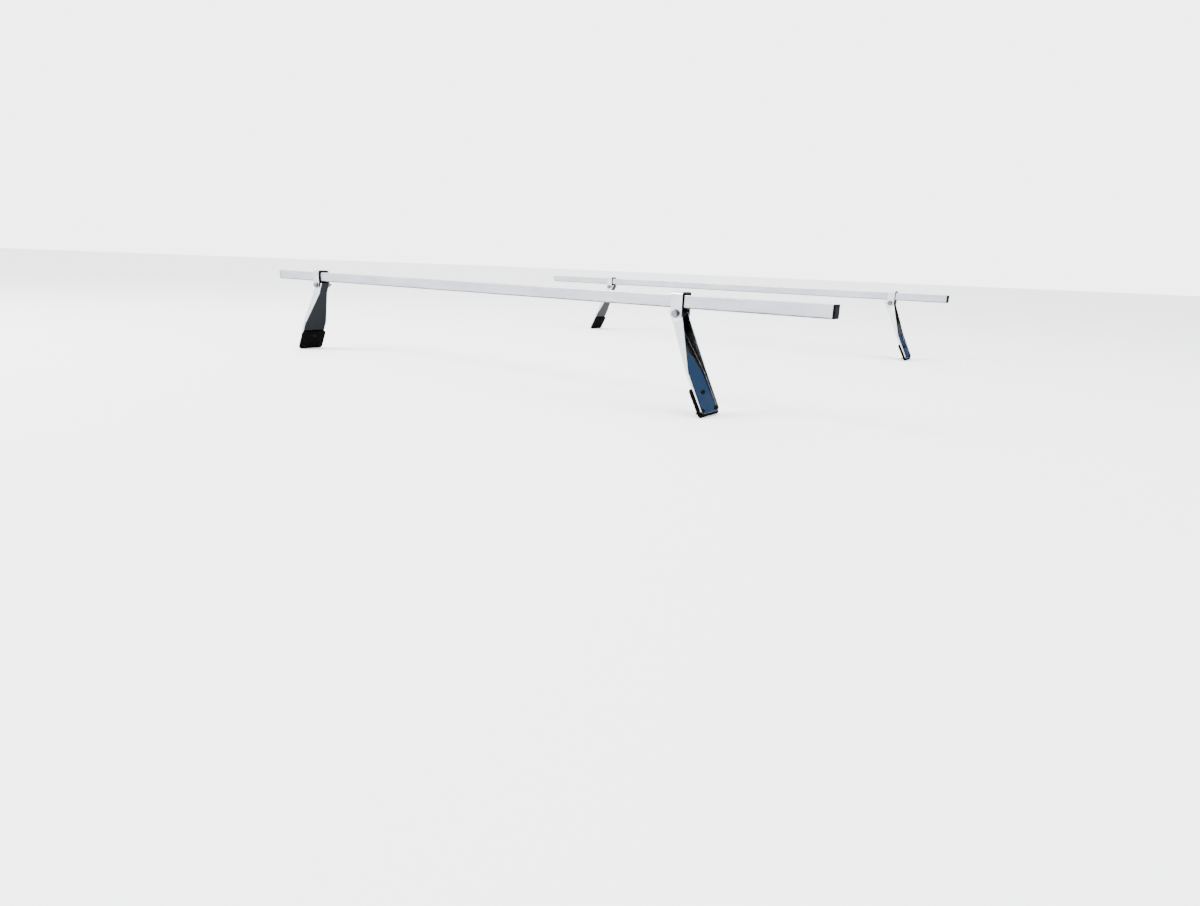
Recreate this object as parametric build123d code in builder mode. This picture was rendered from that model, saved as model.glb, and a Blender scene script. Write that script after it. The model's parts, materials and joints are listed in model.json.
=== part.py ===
"""Ladder rack for a hard-shell truck cap.

Two square crossbars, each held by two saddles on folded-sheet legs. The legs lean with the sides
of the cap and their rubber-backed feet bolt to them. A saddle slides along its bar, and a leg
swings on the cross bolt of its saddle.
"""
from build123d import *
from math import cos, radians, sin
import os

# Crossbars: square aluminium tube
bar_size = 25.4
bar_wall = 3.2
bar_corner = 1.2
bar_length = 1778.0
bar_spacing = 1483.0  # from the rear bar to the front bar, centre to centre
bar_shift = 64.5  # the rear bar is set this far to the right, the front bar as far to the left

# End caps: moulded plugs pressed into the tube
cap_head = 3.5
cap_rounding = 1.2
plug_length = 22.0
plug_wall = 2.0
plug_play = 0.4  # between the plug and the bore, taken up by the ribs
rib_width = 1.6
rib_count = 3

# Saddles: a bent strap over the bar, lined with rubber
saddle_spacing = 1258.0  # from the left saddle to the right saddle, centre to centre
saddle_centre = 11.0  # the middle of a pair of saddles, to the right of the rack's middle
strap_width = 26.0
strap_sheet = 3.0
strap_bend = 6.0
strap_below_pivot = 9.5
strap_rounding = 8.0
liner_top = 3.0
liner_side = 1.5
liner_overhang = 1.5
slide_gap = 0.3  # between pieces that slide or swing past each other

# Cross bolt, on which the leg swings, with its washers, lock nut and spacer sleeve
pivot_drop = 11.0  # from the underside of the bar to the bolt's axis
bolt_radius = 4.0
bolt_length = 50.0
bolt_hex = 13.0
bolt_head = 5.3
bolt_running = 0.08  # radial, in the leg
bolt_clearance = 0.25  # radial, in the strap, washers and sleeve
bolt_chamfer = 0.8
washer_radius = 8.5
washer_sheet = 1.6
nut_hex_height = 6.5
nut_collar_height = 1.7
nut_collar_radius = 5.8
thread_play = 0.05

# Legs: one folded sheet, a web on the inboard side with a flange along each edge
leg_lean = 28.0  # degrees from vertical, with the side of the cap
leg_sheet = 3.0
web_offset = 17.0  # from the pivot to the inboard face of the web
leg_top = 5.5  # height of the leg's top edge above the pivot
ear_reach = 11.0  # from the pivot to the free edge of the flange beside it
ear_rounding = 6.0
taper_start = 16.0  # distances down the leg are measured from the pivot
knee = 120.0
foot_end = 208.0
foot_half_width = 36.5
knee_lip = 7.6  # height of the flange's free edge above the inboard face, at the knee
foot_lip = 5.0  # and at the end of the foot
fold_radius = 4.0
taper_blend = 15.0
knee_blend = 40.0
foot_corner = 9.0

# Foot pads, and the bolts that hold the feet to the cap
pad_top = 152.0
pad_end = 213.0
pad_sheet = 5.0
pad_overhang = 2.5
pad_corner = 7.0
pad_rounding = 1.0
foot_bolt_radius = 3.0
foot_thread_radius = 2.75  # the thread past the pad, as a plain stud of the thread's mean radius
foot_thread_length = 8.0
foot_bolt_head_radius = 5.25
foot_bolt_head = 3.3
foot_bolt_dome = 2.2
foot_bolt_socket = 4.0  # across flats
foot_bolt_socket_depth = 2.0
foot_bolt_chamfer = 0.6
foot_hole_clearance = 0.3
pad_hole_clearance = 0.1
top_bolt = 164.5
bottom_bolts = 201.5
bottom_bolt_spacing = 54.0

# Places that follow from the sizes above
lean = radians(leg_lean)
half_bar = bar_size / 2
bar_bore = bar_size - 2 * bar_wall
strap_inside = half_bar + slide_gap + liner_side
strap_outside = strap_inside + strap_sheet
leg_half_top = strap_inside - slide_gap
pivot_height = pad_end * cos(lean) + (web_offset + pad_sheet) * sin(lean)
bar_bottom = pivot_height + pivot_drop
bar_middle = bar_bottom + half_bar
liner_peak = bar_bottom + bar_size + slide_gap + liner_top

bars = {"rear": (bar_shift, -bar_spacing / 2), "front": (-bar_shift, bar_spacing / 2)}
sides = {"right": 1, "left": -1}


def write(piece, label):
    """Name a finished piece and save it."""
    piece.part.label = label
    export_step(piece.part, f"parts/{label}.step")


def saddle_x(side):
    """The middle of a saddle, along the bars."""
    return saddle_centre + side * saddle_spacing / 2


def bar_plane(x, y, z, facing=1):
    """A plane across a bar. Its x is the rack's Y and it faces along the bar."""
    return Plane(origin=(x, y, z), x_dir=(0, facing, 0), z_dir=(facing, 0, 0))


def bolt_plane(side, y, facing=1):
    """A plane across the cross bolt at y, facing forward or, with facing -1, backward."""
    return Plane(origin=(saddle_x(side), y, pivot_height), x_dir=(facing, 0, 0), z_dir=(0, facing, 0))


def web_plane(side, bar_y, outboard):
    """A plane along the web, this far outboard of the pivot. Its x runs down the leg."""
    normal = Vector(side * cos(lean), 0, sin(lean))
    down = Vector(side * sin(lean), 0, -cos(lean))
    pivot = Vector(saddle_x(side), bar_y, pivot_height)
    return Plane(origin=pivot + normal * outboard, x_dir=down, z_dir=normal)


def flange_plane(side, bar_y):
    """A plane across the pivot's axis. Its x runs down the leg and its y points outboard."""
    down = Vector(side * sin(lean), 0, -cos(lean))
    return Plane(origin=(saddle_x(side), bar_y, pivot_height), x_dir=down, z_dir=(0, -side, 0))


def crossbar(row, bar_x, bar_y):
    with BuildPart() as bar:
        with BuildSketch(bar_plane(bar_x, bar_y, bar_middle)):
            RectangleRounded(bar_size, bar_size, bar_corner)
            Rectangle(bar_bore, bar_bore, mode=Mode.SUBTRACT)
        extrude(amount=bar_length / 2, both=True)
    write(bar, f"crossbar_{row}")


def end_cap(corner, side, bar_x, bar_y):
    plug = bar_bore - plug_play
    mouth = bar_plane(bar_x + side * bar_length / 2, bar_y, bar_middle, side)
    with BuildPart() as cap:
        with BuildSketch(mouth):
            RectangleRounded(bar_size, bar_size, bar_corner)
        extrude(amount=cap_head)
        fillet(cap.faces().sort_by(Axis(mouth.origin, mouth.z_dir))[-1].edges(), radius=cap_rounding)
        with BuildSketch(mouth):
            Rectangle(plug, plug)
            Rectangle(plug - 2 * plug_wall, plug - 2 * plug_wall, mode=Mode.SUBTRACT)
        extrude(amount=-plug_length)
        for rib in range(rib_count):
            with BuildSketch(mouth.offset(-plug_length * (rib + 0.5) / rib_count)):
                Rectangle(bar_bore, bar_bore)
                Rectangle(plug, plug, mode=Mode.SUBTRACT)
            extrude(amount=-rib_width)
    write(cap, f"end_cap_{corner}")


def saddle_strap(corner, side, bar_y):
    bottom = pivot_height - strap_below_pivot
    height = liner_peak + strap_sheet - bottom
    with BuildPart() as strap:
        with BuildSketch(bar_plane(saddle_x(side), bar_y, bottom + height / 2)) as outline:
            Rectangle(2 * strap_outside, height)
            fillet(outline.vertices().group_by(Axis.Y)[-1], radius=strap_bend)
        extrude(amount=strap_width / 2, both=True)
        with BuildSketch(bar_plane(saddle_x(side), bar_y, bottom + height / 2 - strap_sheet)) as inside:
            Rectangle(2 * strap_inside, height)
            fillet(inside.vertices().group_by(Axis.Y)[-1], radius=strap_bend - strap_sheet)
        extrude(amount=strap_width / 2, both=True, mode=Mode.SUBTRACT)
        fillet(strap.edges().filter_by(Axis.Y).group_by(Axis.Z)[0], radius=strap_rounding)
        with BuildSketch(bolt_plane(side, bar_y)):
            Circle(bolt_radius + bolt_clearance)
        extrude(amount=strap_outside, both=True, mode=Mode.SUBTRACT)
    write(strap, f"saddle_strap_{corner}")


def saddle_liner(corner, side, bar_y):
    height = liner_peak - bar_bottom
    half_length = strap_width / 2 + liner_overhang
    with BuildPart() as liner:
        with BuildSketch(bar_plane(saddle_x(side), bar_y, bar_bottom + height / 2)) as outline:
            Rectangle(2 * strap_inside, height)
            fillet(outline.vertices().group_by(Axis.Y)[-1], radius=strap_bend - strap_sheet)
        extrude(amount=half_length, both=True)
        with BuildSketch(bar_plane(saddle_x(side), bar_y, bar_bottom + height / 2 - liner_top)):
            Rectangle(bar_size + 2 * slide_gap, height)
        extrude(amount=half_length, both=True, mode=Mode.SUBTRACT)
    write(liner, f"saddle_liner_{corner}")


def spacer_sleeve(corner, side, bar_y):
    half_length = leg_half_top - leg_sheet - slide_gap
    with BuildPart() as sleeve:
        with BuildSketch(bolt_plane(side, bar_y)):
            Circle(pivot_drop - slide_gap)
            Circle(bolt_radius + bolt_clearance, mode=Mode.SUBTRACT)
        extrude(amount=half_length, both=True)
    write(sleeve, f"spacer_sleeve_{corner}")


def cross_bolt(corner, side, bar_y):
    seat = bar_y - strap_outside - washer_sheet
    with BuildPart() as bolt:
        with BuildSketch(bolt_plane(side, seat, facing=-1)):
            RegularPolygon(bolt_hex / 2, 6, major_radius=False)
        extrude(amount=bolt_head)
        chamfer(bolt.faces().sort_by(Axis.Y)[0].edges(), length=bolt_chamfer)
        with BuildSketch(bolt_plane(side, seat)):
            Circle(bolt_radius)
        extrude(amount=bolt_length)
        chamfer(bolt.faces().sort_by(Axis.Y)[-1].edges(), length=bolt_chamfer)
    write(bolt, f"cross_bolt_{corner}")


def cross_washers(corner, side, bar_y):
    with BuildPart() as washers:
        for facing in (-1, 1):
            with BuildSketch(bolt_plane(side, bar_y + facing * strap_outside, facing)):
                Circle(washer_radius)
                Circle(bolt_radius + bolt_clearance, mode=Mode.SUBTRACT)
            extrude(amount=washer_sheet)
    write(washers, f"cross_washers_{corner}")


def cross_nut(corner, side, bar_y):
    seat = bar_y + strap_outside + washer_sheet
    with BuildPart() as nut:
        with BuildSketch(bolt_plane(side, seat)):
            RegularPolygon(bolt_hex / 2, 6, major_radius=False)
        extrude(amount=nut_hex_height)
        chamfer(nut.faces().sort_by(Axis.Y)[-1].edges(), length=bolt_chamfer)
        with BuildSketch(bolt_plane(side, seat + nut_hex_height)):
            Circle(nut_collar_radius)
        extrude(amount=nut_collar_height)
        fillet(nut.faces().sort_by(Axis.Y)[-1].edges(), radius=nut_collar_height / 2)
        with BuildSketch(bolt_plane(side, seat)):
            Circle(bolt_radius + thread_play)
        extrude(amount=nut_hex_height + nut_collar_height, mode=Mode.SUBTRACT)
    write(nut, f"cross_nut_{corner}")


def leg_outline(top, end):
    """The web's outline: narrow at the saddle, widening to the knee, then the parallel foot."""
    half = [(top, leg_half_top), (taper_start, leg_half_top), (knee, foot_half_width)]
    half.append((end, foot_half_width))
    with BuildSketch(mode=Mode.PRIVATE) as outline:
        with BuildLine():
            Polyline(*half, *[(down, -out) for down, out in reversed(half)], close=True)
        make_face()
        fillet(outline.vertices().filter_by_position(Axis.X, knee, knee), radius=knee_blend)
        fillet(
            outline.vertices().filter_by_position(Axis.X, taper_start, taper_start),
            radius=taper_blend,
        )
    return outline.sketch


def leg(corner, side, bar_y):
    back = web_plane(side, bar_y, -web_offset)
    outboard, down = Axis(back.origin, back.z_dir), Axis(back.origin, back.x_dir)
    depth = web_offset + ear_reach
    top_back = -(leg_top + web_offset * sin(lean)) / cos(lean)
    top_front = (ear_reach * sin(lean) - leg_top) / cos(lean)
    with BuildPart() as folded:
        with BuildSketch(back):
            add(leg_outline(top_back, foot_end))
        extrude(amount=depth)
        ends = folded.faces().filter_by(down)
        fillet(folded.faces().sort_by(outboard)[0].edges() - ends.edges(), radius=fold_radius)
        with BuildSketch(back.offset(leg_sheet)):
            add(leg_outline(top_back - depth, foot_end + depth))
            offset(amount=-leg_sheet)
        extrude(amount=depth, mode=Mode.SUBTRACT)
        ends = folded.faces().filter_by(down)
        web = folded.faces().filter_by(outboard).sort_by(outboard)[1]
        fillet(web.edges() - ends.edges(), radius=fold_radius - leg_sheet)
        with BuildSketch(flange_plane(side, bar_y)) as edge:
            with BuildLine():
                Polyline(
                    (top_back, -web_offset),
                    (top_front, ear_reach),
                    (knee, knee_lip - web_offset),
                    (foot_end, foot_lip - web_offset),
                    (foot_end, -web_offset),
                    close=True,
                )
            make_face()
            fillet(edge.vertices().sort_by(Axis.Y)[-1], radius=ear_rounding)
        extrude(amount=foot_half_width, both=True, mode=Mode.INTERSECT)
        with BuildSketch(back) as plan:
            with Locations(((top_back + foot_end) / 2, 0)):
                Rectangle(foot_end - top_back, 2 * foot_half_width)
            fillet(plan.vertices().group_by(Axis.X)[-1], radius=foot_corner)
            with Locations(foot_bolt_places()):
                Circle(foot_bolt_radius + foot_hole_clearance, mode=Mode.SUBTRACT)
        extrude(amount=depth, mode=Mode.INTERSECT)
        with BuildSketch(bolt_plane(side, bar_y)):
            Circle(bolt_radius + bolt_running)
        extrude(amount=leg_half_top, both=True, mode=Mode.SUBTRACT)
    write(folded, f"leg_{corner}")


def foot_bolt_places():
    """Where the three foot bolts are: one above, and a pair near the corners of the foot."""
    reach = bottom_bolt_spacing / 2
    return [(top_bolt, 0), (bottom_bolts, -reach), (bottom_bolts, reach)]


def foot_pad(corner, side, bar_y):
    seat = web_plane(side, bar_y, -web_offset)
    width = 2 * (foot_half_width + pad_overhang)
    with BuildPart() as pad:
        with BuildSketch(seat):
            with Locations(((pad_top + pad_end) / 2, 0)):
                RectangleRounded(pad_end - pad_top, width, pad_corner)
            with Locations(foot_bolt_places()):
                Circle(foot_bolt_radius + pad_hole_clearance, mode=Mode.SUBTRACT)
        extrude(amount=-pad_sheet)
        back = pad.faces().sort_by(Axis(seat.origin, seat.z_dir))[0]
        fillet(back.outer_wire().edges(), radius=pad_rounding)
    write(pad, f"foot_pad_{corner}")


def foot_bolts(corner, side, bar_y):
    seat = web_plane(side, bar_y, leg_sheet - web_offset)
    outboard = Axis(seat.origin, seat.z_dir)
    with BuildPart() as bolts:
        with BuildSketch(seat):
            with Locations(foot_bolt_places()):
                Circle(foot_bolt_head_radius)
        extrude(amount=foot_bolt_head)
        fillet(bolts.faces().group_by(outboard)[-1].edges(), radius=foot_bolt_dome)
        with BuildSketch(seat.offset(foot_bolt_head)):
            with Locations(foot_bolt_places()):
                RegularPolygon(foot_bolt_socket / 2, 6, major_radius=False)
        extrude(amount=-foot_bolt_socket_depth, mode=Mode.SUBTRACT)
        grip = leg_sheet + pad_sheet
        for radius, reach in (
            (foot_bolt_radius, grip),
            (foot_thread_radius, grip + foot_thread_length),
        ):
            with BuildSketch(seat):
                with Locations(foot_bolt_places()):
                    Circle(radius)
            extrude(amount=-reach)
        chamfer(bolts.faces().group_by(outboard)[0].edges(), length=foot_bolt_chamfer)
    write(bolts, f"foot_bolts_{corner}")


os.makedirs("parts", exist_ok=True)
for row, (bar_x, bar_y) in bars.items():
    crossbar(row, bar_x, bar_y)
    for hand, side in sides.items():
        corner = f"{row}_{hand}"
        end_cap(corner, side, bar_x, bar_y)
        for make in (
            saddle_strap,
            saddle_liner,
            spacer_sleeve,
            cross_bolt,
            cross_washers,
            cross_nut,
            leg,
            foot_pad,
            foot_bolts,
        ):
            make(corner, side, bar_y)
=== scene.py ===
"""Looks for the ladder rack: materials on the CAD pieces, a pale floor, soft lights and the camera.

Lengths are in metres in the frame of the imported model: X along the crossbars, Y forward, Z up.
"""
import json
import math

import bpy
from mathutils import Matrix, Vector


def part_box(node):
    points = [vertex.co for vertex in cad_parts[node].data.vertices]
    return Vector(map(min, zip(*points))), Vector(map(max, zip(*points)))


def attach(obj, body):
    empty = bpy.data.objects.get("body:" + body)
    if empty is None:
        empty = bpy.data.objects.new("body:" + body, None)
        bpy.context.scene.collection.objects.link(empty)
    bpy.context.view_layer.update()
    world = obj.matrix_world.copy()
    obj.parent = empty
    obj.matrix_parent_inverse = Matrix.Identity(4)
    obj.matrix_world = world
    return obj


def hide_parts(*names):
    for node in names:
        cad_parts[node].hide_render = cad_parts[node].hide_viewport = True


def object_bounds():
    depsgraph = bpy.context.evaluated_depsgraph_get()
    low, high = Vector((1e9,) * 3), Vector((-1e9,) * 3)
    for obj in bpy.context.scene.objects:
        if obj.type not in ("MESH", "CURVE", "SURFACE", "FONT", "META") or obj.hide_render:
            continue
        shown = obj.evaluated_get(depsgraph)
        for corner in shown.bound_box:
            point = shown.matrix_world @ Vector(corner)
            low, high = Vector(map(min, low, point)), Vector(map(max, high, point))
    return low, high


# Camera: behind the rack and off its right corner, just above the bars
CAMERA_PLACE = Vector((1.3933, -2.0103, 0.2807))
CAMERA_TURN = math.radians(36.53)  # to the left of straight ahead
CAMERA_DIP = math.radians(14.48)
CAMERA_ROLL = math.radians(2.30)
LENS_MM = 21.5
SENSOR_MM = 36.0

FLOOR_REACH = 60.0  # half the width of the floor

# Lights: a name, a place, a width in metres and a power in watts
LIGHTS = (
    ("key", (-2.2, -3.4, 3.0), 1.6, 420.0),
    ("fill", (3.6, -0.5, 2.2), 2.0, 60.0),
    ("top", (0.2, 0.4, 3.6), 3.0, 70.0),
)

# Surroundings: each patch is a direction, a colour, and its inner and outer radius in degrees
ROOM_COLOUR = (0.96, 0.97, 0.98)
ROOM_BRIGHTNESS = 4.2
BACKDROP_COLOUR = (1.12, 1.12, 1.13)
BLUE_WINDOW = ((0.30, 0.88, 0.32), (0.014, 0.030, 0.066), 26.0, 36.0)
DARK_DOORWAY = ((0.50, -0.84, 0.20), (0.004, 0.004, 0.005), 21.0, 30.0)

# A Mix node's colour sockets go by number, because their names repeat
MIX_FIRST, MIX_SECOND, MIX_RESULT = 6, 7, 2

# Painted shade: the band along a bar's lower edge, and the reach that tells a channel from open sheet,
# where the legs get painted shade
SHADE_BAND_TOP = 0.0032
SHADE_BAND_FULL = 0.0010
SHADE_BAND_WAVER = 0.0006
CHANNEL_REACH = 0.032

# Fasteners, in millimetres
MM = 0.001
STEPS = 48  # points round each turned shape, a multiple of six
SHARP_EDGE = math.radians(32)
CHAMFER_SLOPE = math.tan(math.radians(60))
BOLT_HEX = 13.0
BOLT_HEAD = 5.3
BOLT_TOP = 6.1  # radius where the head's chamfer starts, and of the washer face under it
BOLT_DISH = (4.1, 3.4, 0.35)  # outer radius, inner radius and depth of the dish in the head
BOLT_WASHER_FACE = 0.4
BOLT_RADIUS = 4.0
BOLT_PITCH = 1.25
BOLT_THREAD = 24.0
BOLT_TIP = (0.9, 1.1)  # length and depth of the taper at the end
NUT_HEX = 13.0
NUT_HEIGHT = 6.5
NUT_WASHER_FACE = 0.5
NUT_BORE = 4.05
COLLAR_RADIUS = 5.8
COLLAR_HEIGHT = 1.7
COLLAR_LIP = 0.9
COLLAR_ROUNDING = 0.85
COLLAR_TURN = 0.26  # radians between the rings of the collar's rounding
COLLAR_RINGS = 6
FOOT_HEAD_RADIUS = 5.25
FOOT_HEAD = 3.3
FOOT_DOME = 2.2
FOOT_DOME_RINGS = 8
FOOT_EDGE = 0.15
FOOT_SOCKET = 4.0
FOOT_SOCKET_DEPTH = 2.0
FOOT_SOCKET_CHAMFER = 0.2
FOOT_SOCKET_CONE = 0.3
FOOT_RADIUS = 3.0
FOOT_THREAD_RADIUS = 2.75
FOOT_THREAD = 8.0
FOOT_PITCH = 1.0
FOOT_RUNOUT = 0.2  # between the shank and the thread
FOOT_TIP = (0.6, 0.7)  # length and depth of the taper at the end
THREAD_DEPTH = 0.6  # of the pitch
RINGS_PER_TURN = 6
CHAMFER_RINGS = 6

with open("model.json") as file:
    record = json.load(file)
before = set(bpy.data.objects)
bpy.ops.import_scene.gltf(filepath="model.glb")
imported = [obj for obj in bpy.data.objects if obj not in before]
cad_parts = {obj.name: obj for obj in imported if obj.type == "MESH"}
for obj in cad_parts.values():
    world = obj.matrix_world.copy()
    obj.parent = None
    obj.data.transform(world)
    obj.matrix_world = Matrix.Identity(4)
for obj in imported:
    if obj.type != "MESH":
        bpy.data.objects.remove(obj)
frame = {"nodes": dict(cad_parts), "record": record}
cad_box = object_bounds()
middle = (cad_box[0] + cad_box[1]) / 2


# ---------------------------------------------------------------- shader building

class Shader:
    """A node material under construction, with short names for what the materials repeat."""

    def __init__(self, name):
        self.material = bpy.data.materials.new(name)
        self.material.use_nodes = True
        self.nodes = self.material.node_tree.nodes
        self.links = self.material.node_tree.links
        self.surface = self.nodes["Principled BSDF"]
        coordinates = self.nodes.new("ShaderNodeTexCoord").outputs
        self.place = coordinates["Object"]
        self.facing = coordinates["Normal"]

    def stretched(self, scale):
        """Object coordinates scaled along each axis, so that a texture can run along one of them."""
        mapping = self.nodes.new("ShaderNodeMapping")
        mapping.inputs["Scale"].default_value = scale
        self.links.new(self.place, mapping.inputs["Vector"])
        return mapping.outputs["Vector"]

    def part(self, vector, letter):
        """One of the three parts of a vector."""
        split = self.nodes.new("ShaderNodeSeparateXYZ")
        self.links.new(vector, split.inputs["Vector"])
        return split.outputs[letter]

    def rounded(self, radius):
        """The surface's direction with its edges softened, so that they catch the light."""
        bevel = self.nodes.new("ShaderNodeBevel")
        bevel.samples = 4
        bevel.inputs["Radius"].default_value = radius
        return bevel.outputs["Normal"]

    def openness(self, distance):
        """One in the open, less in a corner or between two faces of the same piece."""
        occlusion = self.nodes.new("ShaderNodeAmbientOcclusion")
        occlusion.samples = 8
        occlusion.only_local = True
        occlusion.inputs["Distance"].default_value = distance
        return occlusion.outputs["AO"]

    def noise(self, place, scale, detail=4.0, roughness=0.5):
        texture = self.nodes.new("ShaderNodeTexNoise")
        texture.inputs["Scale"].default_value = scale
        texture.inputs["Detail"].default_value = detail
        texture.inputs["Roughness"].default_value = roughness
        self.links.new(place, texture.inputs["Vector"])
        return texture.outputs["Fac"]

    def spread(self, value, low, high, to_low=0.0, to_high=1.0):
        """The value between low and high, stretched to run between to_low and to_high."""
        ramp = self.nodes.new("ShaderNodeMapRange")
        limits = {"From Min": low, "From Max": high, "To Min": to_low, "To Max": to_high}
        for socket, number in limits.items():
            ramp.inputs[socket].default_value = number
        self.links.new(value, ramp.inputs["Value"])
        return ramp.outputs["Result"]

    def between(self, factor, first, second):
        """A colour that goes from first to second with the factor. Either may be a socket."""
        mix = self.nodes.new("ShaderNodeMix")
        mix.data_type = "RGBA"
        self.links.new(factor, mix.inputs["Factor"])
        for socket, colour in ((mix.inputs[MIX_FIRST], first), (mix.inputs[MIX_SECOND], second)):
            if isinstance(colour, tuple):
                socket.default_value = (*colour, 1.0)
            else:
                self.links.new(colour, socket)
        return mix.outputs[MIX_RESULT]

    def combine(self, operation, *values):
        """The result of a sum or another operation on one or two textures."""
        maths = self.nodes.new("ShaderNodeMath")
        maths.operation = operation
        for socket, value in zip(maths.inputs, values):
            self.links.new(value, socket)
        return maths.outputs["Value"]

    def bump(self, height, distance, strength=1.0, over=None):
        bump = self.nodes.new("ShaderNodeBump")
        bump.inputs["Distance"].default_value = distance
        bump.inputs["Strength"].default_value = strength
        self.links.new(height, bump.inputs["Height"])
        if over is not None:
            self.links.new(over, bump.inputs["Normal"])
        return bump.outputs["Normal"]

    def set(self, socket, value):
        """A number or colour on one of the surface's own sockets, or a texture linked to it."""
        target = self.surface.inputs[socket]
        if isinstance(value, tuple):
            target.default_value = (*value, 1.0)
        elif isinstance(value, (int, float)):
            target.default_value = value
        else:
            self.links.new(value, target)


def extruded_aluminium(bottom):
    """Mill-finish tube: fine die lines along the bar, cloudy patches, and a painted dark band of shade
    along the lower edge.
    """
    s = Shader("extruded_aluminium")
    die_lines = s.noise(s.stretched((1.5, 1.0, 1.0)), 900.0, 3.0)
    lines = s.noise(s.stretched((0.8, 220.0, 220.0)), 4.0, 3.0)
    clouds = s.noise(s.stretched((3.0, 14.0, 14.0)), 2.2, 5.0)
    specks = s.noise(s.place, 70.0, 5.0)
    unshaded_tone = s.between(s.spread(clouds, 0.3, 0.7), (0.32, 0.34, 0.385), (0.42, 0.44, 0.475))
    # Painted shade: the lowest few millimetres of the bar turn dark, with a wavering top edge.
    height = s.part(s.place, "Z")
    uneven = s.combine("ADD", height, s.spread(specks, 0.3, 0.7, -SHADE_BAND_WAVER, SHADE_BAND_WAVER))
    lower_edge_shade = s.spread(uneven, bottom + SHADE_BAND_TOP, bottom + SHADE_BAND_FULL)
    s.set("Metallic", 1.0)
    s.set("Base Color", s.between(lower_edge_shade, unshaded_tone, (0.035, 0.035, 0.038)))
    s.set("Roughness", s.spread(s.combine("ADD", lines, clouds), 0.7, 1.3, 0.20, 0.36))
    grain = s.bump(die_lines, 0.00002, 0.3, over=s.rounded(0.0006))
    s.set("Normal", s.bump(lines, 0.00006, 0.6, over=grain))
    return s.material


def polished_sheet():
    """Bright wavy sheet with hairlines and smudges, with painted shade on the faces that look down and
    deep in the channel.
    """
    s = Shader("polished_sheet")
    waves = s.noise(s.place, 16.0, 2.0)
    smudges = s.noise(s.place, 34.0, 6.0, 0.6)
    hairlines = s.noise(s.stretched((160.0, 160.0, 6.0)), 5.0, 3.0)
    bright = s.between(s.spread(smudges, 0.35, 0.75), (0.58, 0.59, 0.60), (0.48, 0.49, 0.51))
    # Painted shade on the faces that look down.
    underside_shade = s.spread(s.part(s.facing, "Z"), -0.2, -0.42)
    s.set("Metallic", 1.0)
    # Painted shade deep in the channel, where the piece's own faces close around a point.
    channel = s.spread(s.openness(CHANNEL_REACH), 0.92, 0.68)
    channel_shaded = s.between(channel, bright, (0.022, 0.020, 0.021))
    s.set("Base Color", s.between(underside_shade, channel_shaded, (0.010, 0.012, 0.014)))
    s.set("Roughness", s.spread(smudges, 0.35, 0.8, 0.07, 0.24))
    broad = s.bump(waves, 0.0015, 0.5, over=s.rounded(0.0005))
    s.set("Normal", s.bump(hairlines, 0.00003, 0.4, over=broad))
    return s.material


def strap_steel():
    """Bright zinc on the faces of the strap, with painted shade on its edges that face along the bars."""
    s = Shader("strap_steel")
    mottle = s.noise(s.place, 240.0, 4.0)
    stains = s.noise(s.place, 60.0, 3.0)
    bright = s.between(s.spread(stains, 0.3, 0.7), (0.52, 0.53, 0.55), (0.42, 0.43, 0.45))
    # Painted shade on the edges that face along the bars, at both ends.
    edge_shade = s.spread(s.combine("ABSOLUTE", s.part(s.facing, "X")), 0.75, 0.95)
    s.set("Metallic", 1.0)
    s.set("Base Color", s.between(edge_shade, bright, (0.030, 0.031, 0.034)))
    s.set("Roughness", s.spread(mottle, 0.3, 0.7, 0.20, 0.40))
    s.set("Normal", s.bump(mottle, 0.00006, 0.5, over=s.rounded(0.0004)))
    return s.material


def zinc_plate():
    """Plated steel: a soft grey sheen with crystalline mottling."""
    s = Shader("zinc_plate")
    mottle = s.noise(s.place, 240.0, 4.0)
    stains = s.noise(s.place, 60.0, 3.0)
    s.set("Metallic", 1.0)
    stained = s.spread(stains, 0.3, 0.7)
    s.set("Base Color", s.between(stained, (0.17, 0.175, 0.19), (0.09, 0.093, 0.10)))
    s.set("Roughness", s.spread(mottle, 0.3, 0.7, 0.22, 0.42))
    s.set("Normal", s.bump(mottle, 0.00006, 0.5))
    return s.material


def black_oxide():
    """Blackened bolts with the bright metal just showing through."""
    s = Shader("black_oxide")
    rub = s.noise(s.place, 420.0, 5.0)
    s.set("Specular IOR Level", 0.06)
    rubbed = s.spread(rub, 0.6, 0.9)
    s.set("Base Color", s.between(rubbed, (0.0008, 0.0008, 0.0010), (0.012, 0.012, 0.013)))
    s.set("Roughness", s.spread(rub, 0.3, 0.7, 0.34, 0.5))
    s.set("Normal", s.bump(rub, 0.00004, 0.5))
    return s.material


def moulded_plastic():
    """Black plastic with a fine moulded grain."""
    s = Shader("moulded_plastic")
    grain = s.noise(s.place, 2600.0, 2.0)
    wear = s.noise(s.place, 90.0, 5.0)
    s.set("Specular IOR Level", 0.02)
    worn = s.spread(wear, 0.5, 0.85)
    s.set("Base Color", s.between(worn, (0.0006, 0.0006, 0.0007), (0.0045, 0.0045, 0.005)))
    s.set("Roughness", s.spread(wear, 0.3, 0.7, 0.46, 0.62))
    s.set("Normal", s.bump(grain, 0.00008, 0.5))
    return s.material


def weathered_rubber():
    """Matt rubber with a pitted skin and a trace of dust."""
    s = Shader("weathered_rubber")
    skin = s.noise(s.place, 1500.0, 3.0)
    dust = s.noise(s.place, 110.0, 6.0, 0.65)
    s.set("Specular IOR Level", 0.02)
    dusty = s.spread(dust, 0.55, 0.9)
    s.set("Base Color", s.between(dusty, (0.0010, 0.0010, 0.0010), (0.011, 0.010, 0.010)))
    s.set("Roughness", s.spread(dust, 0.3, 0.8, 0.7, 0.9))
    s.set("Normal", s.bump(skin, 0.00015, 0.6))
    return s.material


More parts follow.
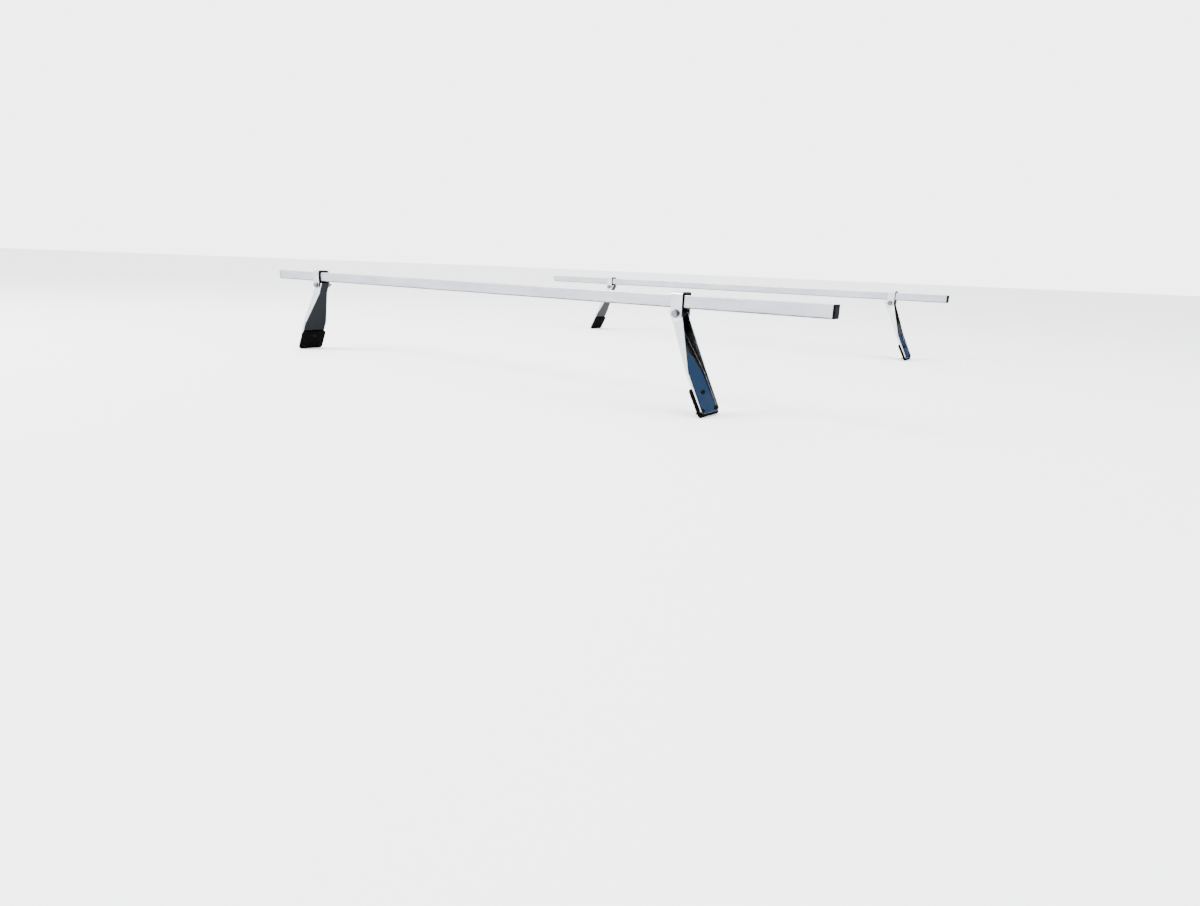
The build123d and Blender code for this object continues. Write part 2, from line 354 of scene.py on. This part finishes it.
zinc = zinc_plate()
blackened = black_oxide()
plastic = moulded_plastic()
rubber = weathered_rubber()
finishes = {
    "crossbar": extruded_aluminium(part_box("crossbar_rear")[0][2]),
    "leg": polished_sheet(),
    "saddle_strap": strap_steel(),
    "cross_bolt": zinc,
    "cross_nut": zinc,
    "cross_washers": zinc,
    "spacer_sleeve": plastic,
    "foot_bolts": blackened,
    "end_cap": plastic,
    "saddle_liner": rubber,
    "foot_pad": rubber,
}
for name, node in frame["nodes"].items():
    kind = max((k for k in finishes if name.startswith(k)), key=len)
    node.data.materials.clear()
    node.data.materials.append(finishes[kind])


# ---------------------------------------------------------------- bolts and nuts

def hexagon(across, limit=math.inf):
    """Radius of a hexagon at an angle, cut back where it would pass the limit."""
    return lambda angle: min(limit, across / 2 / math.cos(angle % (math.pi / 3) - math.pi / 6))


def chamfered(across, height, start):
    """Rings from the top of a hexagon down to where its chamfer has run out."""
    drop = (across / math.sqrt(3) - start) / CHAMFER_SLOPE
    depths = [drop * n / CHAMFER_RINGS for n in range(CHAMFER_RINGS + 1)]
    return [(height - depth, hexagon(across, start + depth * CHAMFER_SLOPE)) for depth in depths]


def threaded(crest, pitch, top, bottom):
    """Rings of a helical thread from top to bottom."""
    def radius_at(height):
        def radius(angle):
            turn = (height / pitch + angle / math.tau) % 1.0
            return crest - THREAD_DEPTH * pitch * abs(2.0 * turn - 1.0)
        return radius
    count = int((top - bottom) / pitch * RINGS_PER_TURN)
    heights = [top - n * pitch / RINGS_PER_TURN for n in range(count + 1)]
    return [(height, radius_at(height)) for height in heights]


def hex_bolt(length):
    """Head up, seat at zero: a forged hexagon with a shallow dish, a washer face, shank and thread."""
    outer, inner, depth = BOLT_DISH
    rings = [(BOLT_HEAD - depth, 0), (BOLT_HEAD - depth, inner), (BOLT_HEAD, outer), (BOLT_HEAD, BOLT_TOP)]
    rings += chamfered(BOLT_HEX, BOLT_HEAD, BOLT_TOP)[1:]
    rings += [(BOLT_WASHER_FACE, hexagon(BOLT_HEX)), (BOLT_WASHER_FACE, BOLT_TOP)]
    rings += [(0.0, BOLT_TOP), (0.0, BOLT_RADIUS)]
    taper, taper_depth = BOLT_TIP
    rings += threaded(BOLT_RADIUS, BOLT_PITCH, BOLT_THREAD - length, taper - length)
    return rings + [(-length, BOLT_RADIUS - taper_depth), (-length, 0)]


def lock_nut():
    """Seat at zero: a chamfered hexagon and the rounded collar that holds its nylon ring."""
    top = NUT_HEIGHT + COLLAR_HEIGHT
    rings = [(top, NUT_BORE), (top, COLLAR_RADIUS - COLLAR_LIP)]
    for n in range(1, COLLAR_RINGS + 1):
        drop, inset = 1 - math.cos(COLLAR_TURN * n), 1 - math.sin(COLLAR_TURN * n)
        rings.append((top - COLLAR_ROUNDING * drop, COLLAR_RADIUS - COLLAR_ROUNDING * inset))
    rings += [(NUT_HEIGHT, COLLAR_RADIUS)]
    rings += chamfered(NUT_HEX, NUT_HEIGHT, BOLT_TOP)
    return rings + [(NUT_WASHER_FACE, hexagon(NUT_HEX)), (0.0, BOLT_TOP), (0.0, NUT_BORE)]


def button_bolt(length):
    """Seat at zero: a domed head with a hexagonal socket, shank and thread."""
    flat = FOOT_HEAD_RADIUS - FOOT_DOME
    socket_floor = FOOT_HEAD - FOOT_SOCKET_DEPTH
    rings = [(socket_floor - FOOT_SOCKET_CONE, 0), (socket_floor, hexagon(FOOT_SOCKET))]
    rings += [(FOOT_HEAD - FOOT_SOCKET_CHAMFER, hexagon(FOOT_SOCKET))]
    rings += [(FOOT_HEAD, hexagon(FOOT_SOCKET + 2 * FOOT_SOCKET_CHAMFER)), (FOOT_HEAD, flat)]
    for n in range(1, FOOT_DOME_RINGS + 1):
        turn = math.pi / 2 * n / FOOT_DOME_RINGS
        rings += [(FOOT_HEAD - FOOT_DOME * (1 - math.cos(turn)), flat + FOOT_DOME * math.sin(turn))]
    rings += [(FOOT_EDGE, FOOT_HEAD_RADIUS), (0.0, FOOT_HEAD_RADIUS - FOOT_EDGE), (0.0, FOOT_RADIUS)]
    rings += [(FOOT_THREAD - length + FOOT_RUNOUT, FOOT_RADIUS)]
    taper, taper_depth = FOOT_TIP
    rings += threaded(FOOT_THREAD_RADIUS, FOOT_PITCH, FOOT_THREAD - length, taper - length)
    return rings + [(-length, FOOT_THREAD_RADIUS - taper_depth), (-length, 0)]


def turned(rings):
    """Points and faces of a shape turned about Z, from rings of height and radius in millimetres."""
    points, rows, faces = [], [], []
    for height, radius in rings:
        angles = [0.0] if radius == 0 else [math.tau * n / STEPS for n in range(STEPS)]
        rows.append(range(len(points), len(points) + len(angles)))
        for angle in angles:
            reach = radius(angle) if callable(radius) else radius
            points.append(Vector((reach * math.cos(angle), reach * math.sin(angle), height)) * MM)
    bored = rings[0][1] != 0  # a nut's last ring joins its first, down its bore
    for upper, lower in zip(rows, rows[1:] + rows[:1] if bored else rows[1:]):
        above, below = len(upper), len(lower)
        for n in range(STEPS):
            m = n + 1
            corners = (upper[n % above], lower[n % below], lower[m % below], upper[m % above])
            faces.append(tuple(dict.fromkeys(corners)))  # a triangle where a ring is a single point
    return points, faces


def fastener(name, body, node, rings, seats, axis, material):
    """Equal fasteners on their seats, heads along the axis, as one piece in place of a CAD node."""
    across = Vector((0, 1, 0)) if abs(axis.y) < 0.5 else Vector((0, 0, 1))
    turn = Matrix((across, axis.cross(across), axis)).transposed()
    points, faces = [], []
    for seat in seats:
        shape, shape_faces = turned(rings)
        faces += [tuple(corner + len(points) for corner in face) for face in shape_faces]
        points += [turn @ point + seat for point in shape]
    mesh = bpy.data.meshes.new(name)
    mesh.from_pydata(points, [], faces)
    mesh.shade_smooth()
    mesh.set_sharp_from_angle(angle=SHARP_EDGE)
    mesh.materials.append(material)
    piece = bpy.data.objects.new(name, mesh)
    bpy.context.scene.collection.objects.link(piece)
    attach(piece, body)
    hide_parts(node)


def reach_along(node, axis):
    """The lowest and highest place of a CAD node along an axis."""
    places = [axis.dot(vertex.co) for vertex in frame["nodes"][node].data.vertices]
    return min(places), max(places)


def cross_bolt(corner, pivot):
    """The bolt that a leg swings on, with its head to the rear."""
    rear, front = (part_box(f"cross_bolt_{corner}")[end][1] for end in (0, 1))
    seat = Vector((pivot.x, rear + BOLT_HEAD * MM, pivot.z))
    fastener(
        f"hex_bolt_{corner}", f"saddle_{corner}", f"cross_bolt_{corner}",
        hex_bolt((front - rear) / MM - BOLT_HEAD), [seat], Vector((0, -1, 0)), zinc,
    )


def cross_nut(corner, pivot):
    """The lock nut on the front end of that bolt."""
    seat = Vector((pivot.x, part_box(f"cross_nut_{corner}")[0][1], pivot.z))
    fastener(
        f"lock_nut_{corner}", f"saddle_{corner}", f"cross_nut_{corner}",
        lock_nut(), [seat], Vector((0, 1, 0)), zinc,
    )


def foot_bolts(corner):
    """The three bolts of a foot, on the lines of its mounts."""
    studs = mounts[f"foot_studs_{corner}"]
    outward = -Vector(studs["axis"]).normalized()
    tip, crown = reach_along(f"foot_bolts_{corner}", outward)
    half = Vector((0, studs["dims"]["pcd_mm"] * MM / 2, 0))
    centre = Vector(studs["pos_m"])
    lines = [centre - half, centre + half, Vector(mounts[f"foot_top_stud_{corner}"]["pos_m"])]
    seats = [line + outward * (crown - FOOT_HEAD * MM - outward.dot(line)) for line in lines]
    fastener(
        f"button_bolts_{corner}", f"leg_assembly_{corner}", f"foot_bolts_{corner}",
        button_bolt((crown - tip) / MM - FOOT_HEAD), seats, outward, blackened,
    )


mounts = {mount["name"]: mount for mount in frame["record"]["mounts"]}
for joint in frame["record"]["behaviour"]["joints"]:
    if joint["name"].startswith("leg_tilt_"):
        corner = joint["name"].removeprefix("leg_tilt_")
        pivot = Vector(joint["pos_m"])
        cross_bolt(corner, pivot)
        cross_nut(corner, pivot)
        foot_bolts(corner)


# ---------------------------------------------------------------- floor, lights and camera

def floor():
    """A plain pale floor, wide enough to reach the horizon."""
    mesh = bpy.data.meshes.new("floor")
    corners = ((-1, -1), (1, -1), (1, 1), (-1, 1))
    points = [(middle.x + FLOOR_REACH * x, middle.y + FLOOR_REACH * y, 0) for x, y in corners]
    mesh.from_pydata(points, [], [(0, 1, 2, 3)])
    plane = bpy.data.objects.new("floor", mesh)
    bpy.context.scene.collection.objects.link(plane)
    s = Shader("floor_paint")
    tone = s.noise(s.place, 1.5, 3.0)
    s.set("Base Color", s.between(tone, (0.91, 0.91, 0.91), (0.93, 0.93, 0.93)))
    s.set("Roughness", 0.8)
    mesh.materials.append(s.material)


def soft_light(name, place, size, watts):
    """A square area light aimed at the middle of the rack."""
    light = bpy.data.lights.new(name, "AREA")
    light.size = size
    light.energy = watts
    lamp = bpy.data.objects.new(name, light)
    lamp.location = place
    lamp.rotation_euler = (middle - Vector(place)).to_track_quat("-Z", "Y").to_euler()
    bpy.context.scene.collection.objects.link(lamp)


def surroundings():
    """A pale room. A blue window and a dark doorway show only in what the polished metal reflects."""
    world = bpy.data.worlds.new("room")
    bpy.context.scene.world = world
    world.use_nodes = True
    nodes, links = world.node_tree.nodes, world.node_tree.links
    background = nodes["Background"].inputs
    background["Strength"].default_value = ROOM_BRIGHTNESS
    sight = nodes.new("ShaderNodeTexCoord").outputs["Generated"]
    colour = None
    for direction, patch_colour, inner, outer in (BLUE_WINDOW, DARK_DOORWAY):
        towards = nodes.new("ShaderNodeVectorMath")
        towards.operation = "DOT_PRODUCT"
        towards.inputs[1].default_value = Vector(direction).normalized()
        links.new(sight, towards.inputs[0])
        patch = nodes.new("ShaderNodeMapRange")
        patch.interpolation_type = "SMOOTHSTEP"
        patch.inputs["From Min"].default_value = math.cos(math.radians(outer))
        patch.inputs["From Max"].default_value = math.cos(math.radians(inner))
        links.new(towards.outputs["Value"], patch.inputs["Value"])
        mix = nodes.new("ShaderNodeMix")
        mix.data_type = "RGBA"
        links.new(patch.outputs["Result"], mix.inputs["Factor"])
        if colour is None:
            mix.inputs[MIX_FIRST].default_value = (*ROOM_COLOUR, 1.0)
        else:
            links.new(colour, mix.inputs[MIX_FIRST])
        mix.inputs[MIX_SECOND].default_value = (*patch_colour, 1.0)
        colour = mix.outputs[MIX_RESULT]
    plain = nodes.new("ShaderNodeMix")
    plain.data_type = "RGBA"
    links.new(nodes.new("ShaderNodeLightPath").outputs["Is Camera Ray"], plain.inputs["Factor"])
    links.new(colour, plain.inputs[MIX_FIRST])
    plain.inputs[MIX_SECOND].default_value = (*BACKDROP_COLOUR, 1.0)
    links.new(plain.outputs[MIX_RESULT], background["Color"])


def camera():
    """The viewing angle, with a lens wide enough to hold both bars."""
    data = bpy.data.cameras.new("camera")
    data.lens = LENS_MM
    data.sensor_width = SENSOR_MM
    eye = bpy.data.objects.new("camera", data)
    turn = Matrix.Rotation(CAMERA_TURN, 4, "Z")
    tilt = Matrix.Rotation(math.pi / 2 - CAMERA_DIP, 4, "X")
    roll = Matrix.Rotation(CAMERA_ROLL, 4, "Z")
    eye.matrix_world = Matrix.Translation(CAMERA_PLACE) @ turn @ tilt @ roll
    bpy.context.scene.collection.objects.link(eye)
    bpy.context.scene.camera = eye


floor()
surroundings()
for light in LIGHTS:
    soft_light(*light)
camera()
